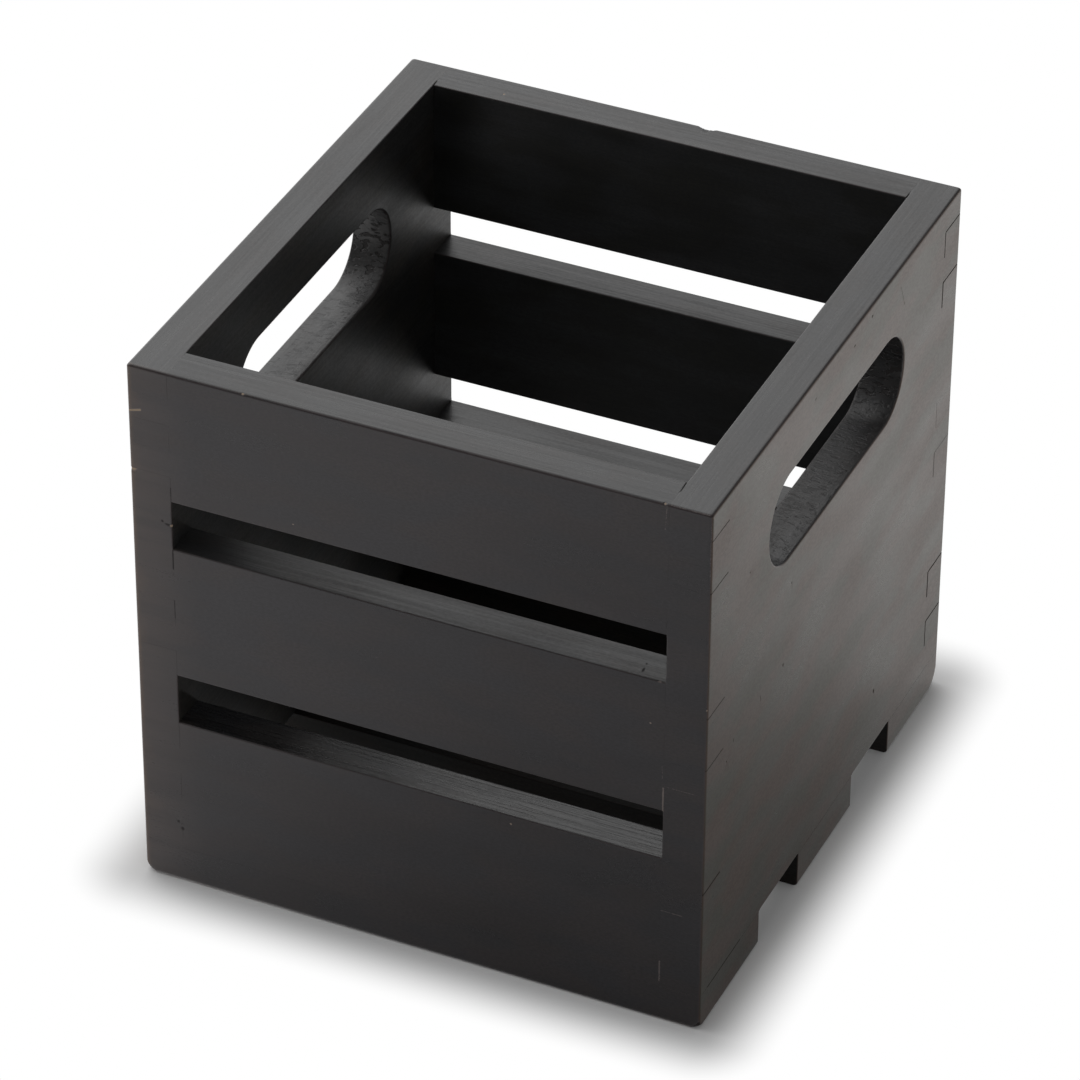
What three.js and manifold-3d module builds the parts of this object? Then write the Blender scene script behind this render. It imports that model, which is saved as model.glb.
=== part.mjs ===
// A small open-topped display crate of stained wood, in millimetres, +Z up, front towards -Y.
// Two solid side panels with hand holes carry three slats at the front and three at the back,
// joined to them by box joints. Three boards run from side to side under the panels and are
// held by brads driven up from below. The origin is at the centre of the footprint, on the ground.

import * as THREE from "three";
import { mergeVertices } from "three/addons/utils/BufferGeometryUtils.js";
import Module from "manifold-3d";

const wasm = await Module();
wasm.setup();

// Outside of the crate in plan
const crateWidth = 160;
const crateDepth = 167.5;

// Thickness of the stock
const sidePanelThickness = 11.5;
const slatThickness = 11;
const bottomBoardThickness = 11;

// Front and back walls, from the bottom boards up
const bottomSlatHeight = 41.5;
const lowerSlotHeight = 15;
const middleSlatHeight = 40;
const upperSlotHeight = 14.5;
const topSlatHeight = 39;

// Bottom boards, from the front; the two gaps between them are equal
const frontBoardWidth = 39.5;
const middleBoardWidth = 38;
const backBoardWidth = 37;

// Hand hole in each side panel, with full round ends
const handHoleLength = 91;
const handHoleHeight = 26;
const handHoleDrop = 32; // from the rim down to the middle of the hole's height

// Box joints: each slat end is divided into equal fingers, and the panel has the outer ones
const fingersPerSlat = 5;
const jointClearance = 0.1;

// Sanded outer edges
const bottomEdgeRadius = 1.2;
const cornerEdgeRadius = 0.6;
const rimEdgeRadius = 0.6;

// Brads that hold the bottom boards up against the side panels
const bradHeadDiameter = 2.6;
const bradHeadThickness = 0.6;
const bradShankDiameter = 1.4;
const bradLength = 28;
const bradPointLength = 2.5;
const bradEdgeDistance = 6; // from the edges of the board's bearing on the panel
const bradHeadRecess = 0.4; // of the head below the board's underside
const bradClearance = 0.2; // of the hole around the brad

// Facets on the round shapes
const edgeFacets = 5;
const cornerFacets = 3;
const holeEndFacets = 16;
const bradFacets = 12;

// How far a cutting shape runs past the face that it opens
const cutOverrun = 5;

// Levels and faces that several pieces share
const bottomSlatLow = bottomBoardThickness;
const middleSlatLow = bottomSlatLow + bottomSlatHeight + lowerSlotHeight;
const topSlatLow = middleSlatLow + middleSlatHeight + upperSlotHeight;
const slatLevels = {
  top: { low: topSlatLow, height: topSlatHeight },
  middle: { low: middleSlatLow, height: middleSlatHeight },
  bottom: { low: bottomSlatLow, height: bottomSlatHeight },
};
const rimLevel = topSlatLow + topSlatHeight;
const panelHeight = rimLevel - bottomBoardThickness;
const sideFace = crateWidth / 2;
const endFace = crateDepth / 2;
const bottomGap = (crateDepth - frontBoardWidth - middleBoardWidth - backBoardWidth) / 2;

// Materials
function stainedWood(color) {
  return new THREE.MeshStandardMaterial({ color, roughness: 0.55, metalness: 0 });
}

const panelWood = stainedWood(0x4a4643);
const slatWood = stainedWood(0x3e3d3f);
const boardWood = stainedWood(0x37342f);
const bradSteel = new THREE.MeshStandardMaterial({
  color: 0x8d8f92,
  roughness: 0.4,
  metalness: 0.9,
});

// Closed geometry to a solid that can be joined and cut
function solidOf(geometry) {
  const bare = geometry.clone();
  bare.deleteAttribute("normal");
  bare.deleteAttribute("uv");
  const merged = mergeVertices(bare, 1e-4);
  return new wasm.Manifold(
    new wasm.Mesh({
      numProp: 3,
      vertProperties: new Float32Array(merged.attributes.position.array),
      triVerts: new Uint32Array(merged.index.array),
    }),
  );
}

// Solid back to geometry with flat faces
function geometryOf(solid) {
  const mesh = solid.getMesh();
  const geometry = new THREE.BufferGeometry();
  geometry.setAttribute("position", new THREE.BufferAttribute(mesh.vertProperties, 3));
  geometry.setIndex(new THREE.BufferAttribute(mesh.triVerts, 1));
  const flat = geometry.toNonIndexed();
  flat.computeVertexNormals();
  return flat;
}

// Block between two corners
function block(low, high) {
  const size = new THREE.Vector3().subVectors(high, low);
  const middle = new THREE.Vector3().addVectors(low, high).multiplyScalar(0.5);
  const geometry = new THREE.BoxGeometry(size.x, size.y, size.z);
  geometry.translate(middle.x, middle.y, middle.z);
  return geometry;
}

function corner(x, y, z) {
  return new THREE.Vector3(x, y, z);
}

// One level of the crate's sanded outline: a rectangle with rounded corners, drawn inwards
function outlineRing(inset, level) {
  const ring = [];
  const centreX = sideFace - inset - cornerEdgeRadius;
  const centreY = endFace - inset - cornerEdgeRadius;
  const quadrants = [
    [1, 1],
    [-1, 1],
    [-1, -1],
    [1, -1],
  ];
  quadrants.forEach(([signX, signY], quadrant) => {
    for (let i = 0; i <= cornerFacets; i += 1) {
      const angle = (quadrant + i / cornerFacets) * (Math.PI / 2);
      const x = signX * centreX + cornerEdgeRadius * Math.cos(angle);
      const y = signY * centreY + cornerEdgeRadius * Math.sin(angle);
      ring.push([x, y, level]);
    }
  });
  return ring;
}

// The outline of the whole crate as one lofted body, with its outer edges rounded.
// Every wooden piece is trimmed to it, so the sanded edges run on across the joints.
function sandedOutline() {
  const rings = [];
  for (let i = 0; i <= edgeFacets; i += 1) {
    const angle = (i / edgeFacets) * (Math.PI / 2);
    const inset = bottomEdgeRadius * (1 - Math.sin(angle));
    rings.push(outlineRing(inset, bottomEdgeRadius * (1 - Math.cos(angle))));
  }
  for (let i = edgeFacets; i >= 0; i -= 1) {
    const angle = (i / edgeFacets) * (Math.PI / 2);
    const inset = rimEdgeRadius * (1 - Math.sin(angle));
    rings.push(outlineRing(inset, rimLevel - rimEdgeRadius * (1 - Math.cos(angle))));
  }
  const count = rings[0].length;
  const indices = [];
  for (let level = 0; level + 1 < rings.length; level += 1) {
    for (let i = 0; i < count; i += 1) {
      const here = level * count + i;
      const next = level * count + ((i + 1) % count);
      indices.push(here, next, next + count);
      indices.push(here, next + count, here + count);
    }
  }
  const top = (rings.length - 1) * count;
  for (let i = 1; i + 1 < count; i += 1) {
    indices.push(0, i + 1, i);
    indices.push(top, top + i, top + i + 1);
  }
  const geometry = new THREE.BufferGeometry();
  const positions = rings.flat(2);
  geometry.setAttribute("position", new THREE.Float32BufferAttribute(positions, 3));
  geometry.setIndex(indices);
  return geometry;
}

const outline = sandedOutline();

// A piece that is modelled about its own origin and stands at a place in the crate
function trimmedPiece(name, solid, place, material) {
  const localOutline = outline.clone();
  localOutline.translate(-place.x, -place.y, -place.z);
  const trimmed = solid.intersect(solidOf(localOutline));
  const mesh = new THREE.Mesh(geometryOf(trimmed), material);
  mesh.name = name;
  mesh.position.copy(place);
  return mesh;
}

// Height range of one finger of a slat, counted from the top of its end
function fingerSpan(slat, index) {
  const fingerHeight = slat.height / fingersPerSlat;
  const high = slat.height - index * fingerHeight;
  return { low: high - fingerHeight, high };
}

// Side panels have fingers 0, 2, 4 and so on; slats have those between them
function belongsToPanel(index) {
  return index % 2 === 0;
}

// Slat with its origin in the middle of its bottom edge
function slatSolid(slat) {
  const halfThickness = slatThickness / 2;
  let solid = solidOf(
    block(corner(-sideFace, -halfThickness, 0), corner(sideFace, halfThickness, slat.height)),
  );
  for (let index = 0; index < fingersPerSlat; index += 1) {
    if (!belongsToPanel(index)) continue;
    const span = fingerSpan(slat, index);
    const low = index === fingersPerSlat - 1 ? -cutOverrun : span.low - jointClearance;
    const high = index === 0 ? slat.height + cutOverrun : span.high + jointClearance;
    for (const side of [-1, 1]) {
      const inner = side * (sideFace - sidePanelThickness);
      const outer = side * (sideFace + cutOverrun);
      const notch = block(
        corner(Math.min(inner, outer), -halfThickness - cutOverrun, low),
        corner(Math.max(inner, outer), halfThickness + cutOverrun, high),
      );
      solid = solid.subtract(solidOf(notch));
    }
  }
  return solid;
}

// Hand hole along X, with its centre at the origin
function handHole() {
  const radius = handHoleHeight / 2;
  const straight = handHoleLength / 2 - radius;
  const shape = new THREE.Shape();
  shape.moveTo(-straight, -radius);
  shape.lineTo(straight, -radius);
  shape.absarc(straight, 0, radius, -Math.PI / 2, Math.PI / 2, false);
  shape.lineTo(-straight, radius);
  shape.absarc(-straight, 0, radius, Math.PI / 2, (3 * Math.PI) / 2, false);
  const depth = sidePanelThickness + 2 * cutOverrun;
  const geometry = new THREE.ExtrudeGeometry(shape, {
    depth,
    bevelEnabled: false,
    curveSegments: holeEndFacets,
  });
  geometry.translate(0, 0, -depth / 2);
  geometry.rotateX(Math.PI / 2);
  geometry.rotateZ(Math.PI / 2);
  return geometry;
}

// Brad with its point up. Its hole is the same outline with clearance, and the recess for the
// head ends level with the head's bearing face, so that the head bears on the wood.
function bradProfile(clearance, headLow) {
  const headRadius = bradHeadDiameter / 2 + clearance;
  const shankRadius = bradShankDiameter / 2 + clearance;
  const shankTop = bradLength - bradPointLength;
  const points = [
    [0, headLow],
    [headRadius, headLow],
    [headRadius, bradHeadThickness],
    [shankRadius, bradHeadThickness],
    [shankRadius, shankTop],
    [0, bradLength + clearance],
  ];
  return points.map(([x, y]) => new THREE.Vector2(x, y));
}

function bradGeometry(clearance, headLow) {
  const geometry = new THREE.LatheGeometry(bradProfile(clearance, headLow), bradFacets);
  geometry.rotateX(Math.PI / 2);
  return geometry;
}

// Bottom boards: the depth range of each, and the range over which the panel bears on it
const boards = [
  {
    name: "front",
    front: -endFace,
    back: -endFace + frontBoardWidth,
    bearingFront: -endFace + slatThickness,
    bearingBack: -endFace + frontBoardWidth,
  },
  {
    name: "middle",
    front: -endFace + frontBoardWidth + bottomGap,
    back: -endFace + frontBoardWidth + bottomGap + middleBoardWidth,
    bearingFront: -endFace + frontBoardWidth + bottomGap,
    bearingBack: -endFace + frontBoardWidth + bottomGap + middleBoardWidth,
  },
  {
    name: "back",
    front: endFace - backBoardWidth,
    back: endFace,
    bearingFront: endFace - backBoardWidth,
    bearingBack: endFace - slatThickness,
  },
];

const sides = [
  { name: "left", sign: -1 },
  { name: "right", sign: 1 },
];

// Where the brads stand: two through each board end, in the middle of the panel's thickness
const bradPlaces = [];
for (const board of boards) {
  for (const side of sides) {
    const x = side.sign * (sideFace - sidePanelThickness / 2);
    const depths = [board.bearingFront + bradEdgeDistance, board.bearingBack - bradEdgeDistance];
    depths.forEach((y, index) => {
      const name = `${board.name}_board_${side.name}_brad_${index + 1}`;
      bradPlaces.push({ name, board, side, place: corner(x, y, bradHeadRecess) });
    });
  }
}

// Cuts the holes of some brads in a piece whose own origin is at a place in the crate
function cutBradHoles(solid, brads, origin) {
  let cut = solid;
  for (const { place } of brads) {
    const hole = bradGeometry(bradClearance, -cutOverrun);
    hole.translate(place.x - origin.x, place.y - origin.y, place.z - origin.z);
    cut = cut.subtract(solidOf(hole));
  }
  return cut;
}

// Side panel with its origin at the middle of its bottom edge
function sidePanel(side) {
  const place = corner(side.sign * (sideFace - sidePanelThickness / 2), 0, bottomBoardThickness);
  const halfThickness = sidePanelThickness / 2;
  let solid = solidOf(
    block(corner(-halfThickness, -endFace, 0), corner(halfThickness, endFace, panelHeight)),
  );
  for (const level of Object.values(slatLevels)) {
    const lift = level.low - bottomBoardThickness;
    for (let index = 0; index < fingersPerSlat; index += 1) {
      if (belongsToPanel(index)) continue;
      const span = fingerSpan(level, index);
      for (const end of [-1, 1]) {
        const inner = end * (endFace - slatThickness - jointClearance);
        const outer = end * (endFace + cutOverrun);
        const pocket = block(
          corner(-halfThickness - cutOverrun, Math.min(inner, outer), lift + span.low),
          corner(halfThickness + cutOverrun, Math.max(inner, outer), lift + span.high),
        );
        solid = solid.subtract(solidOf(pocket));
      }
    }
  }
  const hole = handHole();
  hole.translate(0, 0, panelHeight - handHoleDrop);
  solid = solid.subtract(solidOf(hole));
  const brads = bradPlaces.filter((entry) => entry.side === side);
  solid = cutBradHoles(solid, brads, place);
  return trimmedPiece(`${side.name}_side_panel`, solid, place, panelWood);
}

function wallSlat(wall, levelName) {
  const level = slatLevels[levelName];
  const place = corner(0, wall.sign * (endFace - slatThickness / 2), level.low);
  return trimmedPiece(`${wall.name}_${levelName}_slat`, slatSolid(level), place, slatWood);
}

// Bottom board with its origin at the middle of its underside
function bottomBoard(board) {
  const halfWidth = (board.back - board.front) / 2;
  const place = corner(0, (board.back + board.front) / 2, 0);
  const solid = solidOf(
    block(corner(-sideFace, -halfWidth, 0), corner(sideFace, halfWidth, bottomBoardThickness)),
  );
  const brads = bradPlaces.filter((entry) => entry.board === board);
  return trimmedPiece(`${board.name}_bottom_board`, cutBradHoles(solid, brads, place), place, boardWood);
}

function brad({ name, place }) {
  const mesh = new THREE.Mesh(bradGeometry(0, 0), bradSteel);
  mesh.name = name;
  mesh.position.copy(place);
  return mesh;
}

// Assembly
const crate = new THREE.Group();
crate.name = "display_crate";

const walls = new THREE.Group();
walls.name = "walls";
for (const side of sides) walls.add(sidePanel(side));
for (const wall of [{ name: "front", sign: -1 }, { name: "back", sign: 1 }]) {
  for (const levelName of Object.keys(slatLevels)) walls.add(wallSlat(wall, levelName));
}
crate.add(walls);

const base = new THREE.Group();
base.name = "base";
for (const board of boards) base.add(bottomBoard(board));
for (const bradPlace of bradPlaces) base.add(brad(bradPlace));
crate.add(base);

export default crate;
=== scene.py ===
"""A small open-topped display crate in black-stained wood, dressed around its solids.

Two solid side panels with hand holes carry three slats at the front and three at the back in box
joints, and three boards run from side to side underneath. Lengths in the mesh code are in
millimetres, and a piece is scaled to metres when its mesh is made.
"""

import math

import bmesh
import bpy
import numpy as np
from mathutils import Matrix, Vector, noise
from mathutils.geometry import delaunay_2d_cdt


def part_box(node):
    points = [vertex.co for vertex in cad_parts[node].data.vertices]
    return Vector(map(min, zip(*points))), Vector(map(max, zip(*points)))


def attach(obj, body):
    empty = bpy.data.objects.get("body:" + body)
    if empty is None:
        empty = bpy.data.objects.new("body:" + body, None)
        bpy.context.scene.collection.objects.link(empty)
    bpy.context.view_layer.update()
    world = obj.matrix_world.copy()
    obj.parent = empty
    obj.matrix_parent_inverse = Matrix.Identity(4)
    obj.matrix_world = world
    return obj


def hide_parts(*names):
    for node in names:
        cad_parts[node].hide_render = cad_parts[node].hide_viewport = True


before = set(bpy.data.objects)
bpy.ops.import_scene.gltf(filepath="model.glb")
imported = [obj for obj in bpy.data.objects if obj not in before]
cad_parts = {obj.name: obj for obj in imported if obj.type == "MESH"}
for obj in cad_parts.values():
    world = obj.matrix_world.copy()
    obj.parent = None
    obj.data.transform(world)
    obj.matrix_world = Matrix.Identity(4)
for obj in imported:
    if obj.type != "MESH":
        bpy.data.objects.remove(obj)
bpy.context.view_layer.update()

bl_info = {
    "name": "Stained Display Crate",
    "version": (1, 0, 0),
    "blender": (4, 5, 0),
    "location": "View3D > Sidebar > Crate",
    "description": "Dresses the solids of a box-jointed display crate in sanded, stained wood",
    "category": "Object",
}

MM = 0.001
MICROMETRE = 0.000001
X, Y, Z = 0, 1, 2

# Rows of vertices beside an edge, in millimetres from it, as fine as its rounding needs
SEAM_ROWS = (0.03, 0.09, 0.2, 0.34, 0.8)
SLOT_ROWS = (0.06, 0.15, 0.26, 0.37, 0.48, 0.8)
OUTER_ROWS = (0.06, 0.16, 0.3, 0.45, 0.62, 0.8, 1.2)
HOLE_ROWS = (0.07, 0.16, 0.3, 0.45, 0.6, 0.8, 1.3)
FOOT_ROWS = (0.08, 0.2, 0.38, 0.6, 0.9, 1.3, 1.8, 2.5, 3.3, 4.2, 5.2, 6.3, 7.5)
BRAD_ROWS = (0.06, 0.15, 0.4)

# Widest spacing of the vertices elsewhere, in millimetres
PANEL_STEP, SLAT_STEP, HOLE_STEP, BRAD_STEP, LEVEL_STEP = 2.2, 2.6, 1.4, 0.4, 3.5
PANEL_GRID, SLAT_GRID = 4.0, 5.0

# The rows beside both ends of an edge may each take up this share of it
ROOM_FOR_ROWS = 0.45

# Least room round a vertex inside a face, as a share of the spacing there
LEAST_ROOM = 0.45

# Least distance between two levels, and between a row and another edge
LEAST_RISE, CLEAR_OF_EDGE = 0.04, 0.02

# Rows down the wall of a pocket, as shares of its depth
POCKET_LEVELS = (0.1, 0.3, 1.0)

# Width of a joint that is closed, and how near a plane a vertex counts as on it
TIGHT = 0.003
NEAR = 0.01

# A knocked corner on the ground is cut by a sphere of this many times the corner's radius
KNOCK_SPHERE = 1.4

# Lengths of the sanding waves along the three axes, on the sides and on the front and back, and
# how far in from the outside the wood moves with them
SANDING_WAVES = {X: (31.0, 95.0, 24.0), Y: (80.0, 37.0, 26.0)}
SANDED_DEPTH = 2.5

# A face is flush with a plane of the crate when it faces this much that way and lies this near
FACING = 0.7
FLUSH = 0.7

# What each vertex knows: how worn it is, how deep in a joint line, how marked (pale above 0 and
# dark below, with painted highlights among the pale lines), how rough a router left it, fading
# out as painted shade towards the hand hole's outer face, whether it is torn, how much painted
# light lightens the front's left end, and how much painted warm edge light shows along its left
# edge and bottom
WEAR_LAYERS = ("worn", "seam", "mark", "sawn", "torn", "thin", "faded")

LEVELS = ("top", "middle", "bottom")
PLACES = ("front", "middle", "back")


def solid_box(node):
    """Lowest and highest corner of a solid, in millimetres."""
    low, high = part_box(node)
    return np.array(low) / MM, np.array(high) / MM


def solid_span(node, axis):
    """Where a solid begins and ends along an axis, in millimetres."""
    low, high = solid_box(node)
    return float(low[axis]), float(high[axis])


# The crate's main planes, read from its solids
PANEL_INSIDE, SIDE = solid_span("right_side_panel", X)
END = solid_span("right_side_panel", Y)[1]
RIM = solid_span("right_side_panel", Z)[1]
SLAT_INSIDE = solid_span("back_top_slat", Y)[0]
BOARD_TOP = solid_span("front_bottom_board", Z)[1]
SLAT_SPANS = {level: solid_span(f"front_{level}_slat", Z) for level in LEVELS}
BOARD_SPANS = {place: solid_span(f"{place}_bottom_board", Y) for place in PLACES}
BRADS = sorted(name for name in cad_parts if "_brad_" in name)

# Which way the grain and the stain run on, whatever piece a face belongs to
FRONT_STAIN, BACK_STAIN, LEFT_STAIN, RIGHT_STAIN, BOARD_STAIN = 4.7, 7.9, 1.3, 2.3, 12.2

# How far up the wall a slat's own grain moves on by a step, in millimetres
STAIN_RISE = 17.0


# Outlines in the plane of a board's face

def stops_along(length, start_rows, end_rows, step, spots):
    """Distances along an edge: fine beside its ends and at its marks, and even between."""
    stops = {0.0, length}
    stops.update(d for d in start_rows if d < ROOM_FOR_ROWS * length)
    stops.update(length - d for d in end_rows if d < ROOM_FOR_ROWS * length)
    for middle, reach, fine in spots:
        count = int(math.ceil(reach / fine))
        for k in range(-count, count + 1):
            d = middle + k * fine
            if 0 < d < length and min(abs(d - s) for s in stops) > 0.4 * fine:
                stops.add(d)
    ordered = sorted(stops)
    out = []
    for a, b in zip(ordered, ordered[1:]):
        parts = max(1, math.ceil((b - a) / step - 1e-6))
        out += [a + (b - a) * k / parts for k in range(parts)]
    return out


def straight_loop(corners, step, spots=()):
    """Walks round (u, v, rows) corners, anticlockwise, where rows belong to the edge that starts
    there. Each stop is (point, ways in to the rows' vertices, edge number)."""
    stops = []
    count = len(corners)
    for k in range(count):
        here = np.array(corners[k][:2], float)
        ahead = np.array(corners[(k + 1) % count][:2], float)
        behind = np.array(corners[k - 1][:2], float)
        run = ahead - here
        length = float(np.hypot(*run))
        run = run / length
        before = (here - behind) / np.hypot(*(here - behind))
        inward, inward_before = np.array([-run[1], run[0]]), np.array([-before[1], before[0]])
        turn = before[0] * run[1] - before[1] * run[0]
        rows, rows_before = corners[k][2], corners[k - 1][2]
        marks = []
        for u, v, reach, fine in spots:
            offset = np.array([u, v]) - here
            if abs(offset @ inward) < reach and -reach < offset @ run < length + reach:
                marks.append((float(offset @ run), reach, fine))
        for d in stops_along(length, rows_before, corners[(k + 1) % count][2], step, marks):
            point = here + run * d
            if d > 0:
                stops.append((point, [inward * r for r in rows], k))
            elif turn > 1e-6:
                stops.append((point, [], -1))
            elif turn > -1e-6:
                stops.append((point, [inward * r for r in rows], -1))
            else:
                both = [inward * r for r in rows] + [inward_before * r for r in rows_before]
                both += [inward * r + inward_before * s for r in SEAM_ROWS for s in SEAM_ROWS]
                stops.append((point, both, -1))
    return stops


def round_ended_loop(first, second, radius, rows, step):
    """Walks clockwise round a hole with full round ends whose centres are the two points."""
    first, second = np.array(first, float), np.array(second, float)
    run = second - first
    length = float(np.hypot(*run))
    heading = math.atan2(run[1], run[0]) if length else 0.0
    turns = max(12, math.ceil(math.pi * radius / step))
    points = []
    for centre, start in ((second, heading - math.pi / 2), (first, heading + math.pi / 2)):
        for k in range(turns + 1):
            angle = start + math.pi * k / turns
            points.append((centre, np.array([math.cos(angle), math.sin(angle)])))
        if length:
            other = first if centre is second else second
            outward = points[-1][1]
            parts = math.ceil(length / step)
            points += [(centre + (other - centre) * k / parts, outward) for k in range(1, parts)]
        else:
            points.pop()
    return [(c + out * radius, [out * r for r in rows], 0) for c, out in reversed(points)]


def inside(points, loop):
    """Which points lie within a closed loop."""
    x, y = points[:, 0], points[:, 1]
    within = np.zeros(len(points), bool)
    for (x0, y0), (x1, y1) in zip(loop, np.roll(loop, -1, axis=0)):
        if y0 != y1:
            within ^= ((y0 > y) != (y1 > y)) & (x < (x1 - x0) * (y - y0) / (y1 - y0) + x0)
    return within


def distance_to(points, loop):
    """How far each point is from a closed loop."""
    best = np.full(len(points), np.inf)
    for start, end in zip(loop, np.roll(loop, -1, axis=0)):
        run = end - start
        share = np.clip((points - start) @ run / max(run @ run, 1e-12), 0, 1)
        best = np.minimum(best, np.hypot(*(points - start - share[:, None] * run).T))
    return best


def on_face(points, edges):
    """Which points lie within a face's outline and outside its holes."""
    good = inside(points, edges[0])
    for edge in edges[1:]:
        good &= ~inside(points, edge)
    return good


def place_key(point):
    """A point's place to a micrometre, the same for points that fall together."""
    return round(float(point[0]), 3), round(float(point[1]), 3)


def inner_points(edges, grid, spots):
    """Even points across a face with closer ones at its spots, and the room that each needs."""
    low, high = edges[0].min(0), edges[0].max(0)
    points = [
        (low[0] + (i - 0.5 * (j % 2)) * grid, low[1] + (j - 0.4) * grid)
        for i in range(1, int((high[0] - low[0]) / grid) + 1)
        for j in range(1, int((high[1] - low[1]) / grid) + 1)
    ]
    for u, v, reach, fine in spots:
        steps = range(-int(reach / fine), int(reach / fine) + 1)
        points += [
            (u + i * fine, v + j * fine)
            for i in steps for j in steps if math.hypot(i, j) * fine <= reach
        ]
    points = np.array(points)
    room = np.full(len(points), grid * LEAST_ROOM)
    for u, v, reach, fine in spots:
        room[np.hypot(points[:, 0] - u, points[:, 1] - v) <= reach] = fine * LEAST_ROOM
    good = on_face(points, edges)
    return points[good], room[good]


def face_of(outline, holes, grid, spots=()):
    """Points and triangles of a flat face with holes, and where its loops' own points are."""
    loops = [outline, *holes]
    edges = [np.array([stop[0] for stop in loop]) for loop in loops]
    points, known, links = [], {}, []

    def add(point):
        key = place_key(point)
        if key not in known:
            known[key] = len(points)
            points.append((float(point[0]), float(point[1])))
        return known[key]

    for edge in edges:
        for point in edge:
            add(point)
    for edge in edges:
        first = add(edge[0])
        links += [(first + k, first + (k + 1) % len(edge)) for k in range(len(edge))]
    rows, row_links = [], []
    for loop in loops:
        for k, (here, offsets, number) in enumerate(loop):
            after, after_offsets, after_number = loop[(k + 1) % len(loop)]
            rows += [here + o for o in offsets]
            if number == after_number and number >= 0 and len(offsets) == len(after_offsets):
                row_links += [(here + a, after + b) for a, b in zip(offsets, after_offsets)]
    rows = np.array(rows)
    good = on_face(rows, edges)
    for edge in edges:
        good &= distance_to(rows, edge) > CLEAR_OF_EDGE
    numbers = {place_key(point): add(point) for point in rows[good]}
    for a, b in row_links:
        a, b = numbers.get(place_key(a)), numbers.get(place_key(b))
        if a is not None and b is not None and a != b:
            links.append((a, b))
    taken = np.array(points)
    for point, room in zip(*inner_points(edges, grid, spots)):
        if np.min((taken[:, 0] - point[0]) ** 2 + (taken[:, 1] - point[1]) ** 2) > room * room:
            add(point)
    made, _, faces, origin, _, _ = delaunay_2d_cdt(
        [Vector(point) for point in points], links, [], 0, 1e-6, True
    )
    made = np.array([tuple(point) for point in made])
    place = {source: k for k, sources in enumerate(origin) for source in sources}
    triangles = np.array([face for face in faces if len(face) == 3])
    borders, at = [], 0
    for edge in edges:
        borders.append([place[k] for k in range(at, at + len(edge))])
        at += len(edge)
    return made, triangles[on_face(made[triangles].mean(1), edges)], borders


def levels_between(low, high, rows, extra):
    """Heights of a wall's rows, fine beside both faces and at the extra ones."""
    start = [low + d for d in rows[0]]
    end = sorted(high - d for d in rows[1])
    gap = end[0] - start[-1]
    parts = max(1, math.ceil(gap / LEVEL_STEP))
    levels = start + [start[-1] + gap * k / parts for k in range(1, parts)] + end
    for level in extra:
        if low < level < high and min(abs(level - other) for other in levels) > LEAST_RISE:
            levels.append(level)
    return sorted(levels)


def rounded_edge(a, b, radius):
    """Where points at depths a and b behind two planes go when their edge is rounded, how near
    the middle of the rounding each comes to lie, and how far it was from the rounding's start."""
    p, q = radius - a, radius - b
    most = np.maximum(p, q)
    scale = most / np.maximum(np.hypot(p, q), 1e-9)
    return radius - p * scale, radius - q * scale, np.minimum(p, q) / np.maximum(most, 1e-9), most


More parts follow.
